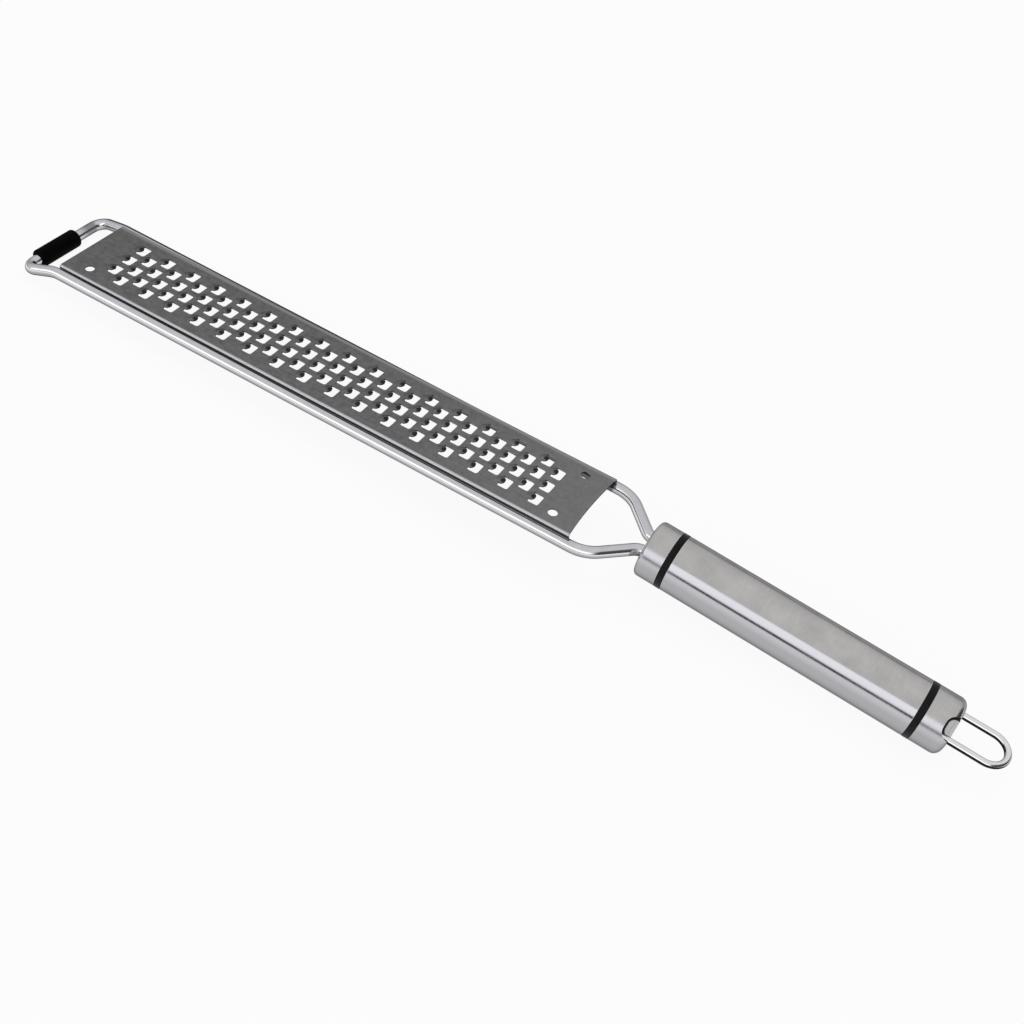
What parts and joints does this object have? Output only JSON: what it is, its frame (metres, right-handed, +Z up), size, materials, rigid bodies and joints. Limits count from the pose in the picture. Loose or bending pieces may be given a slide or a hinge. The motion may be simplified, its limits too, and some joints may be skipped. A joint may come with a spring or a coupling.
{
  "type": "rasp zester",
  "caption": "Long narrow hand rasp zester: a toothed steel blade on a bent wire frame, with a round steel handle, black rings and a wire hanging loop.",
  "frame": {"origin": "under the middle of the tool's outer box, on the table that it lies on", "axes": "+X from the tip towards the handle and its hanging loop, +Y across the blade, +Z up; the tool lies on its tip sleeve and on the handle's back edge, so the blade climbs a little towards the handle"},
  "size_m": [0.3922, 0.0442, 0.025],
  "materials": {
    "polished_wire": "polished stainless steel wire, slightly soft reflections",
    "blade_steel": "matt grey rolled stainless sheet",
    "satin_steel": "satin stainless steel, brushed along the handle",
    "plug_aluminium": "plain turned aluminium",
    "black_plastic": "dull black",
    "black_rubber": "dull black rubber"
  },
  "bodies": {
    "root": {"frame_wire": "polished_wire", "grater_blade": "blade_steel", "blade_welds": "polished_wire", "tip_sleeve": "black_rubber", "front_cap": "satin_steel", "front_plug": "plug_aluminium", "front_ring": "black_plastic", "handle_tube": "satin_steel", "rear_ring": "black_plastic", "rear_cap": "satin_steel", "rear_plug": "plug_aluminium", "hanging_loop": "polished_wire"}
  },
  "joints": []
}
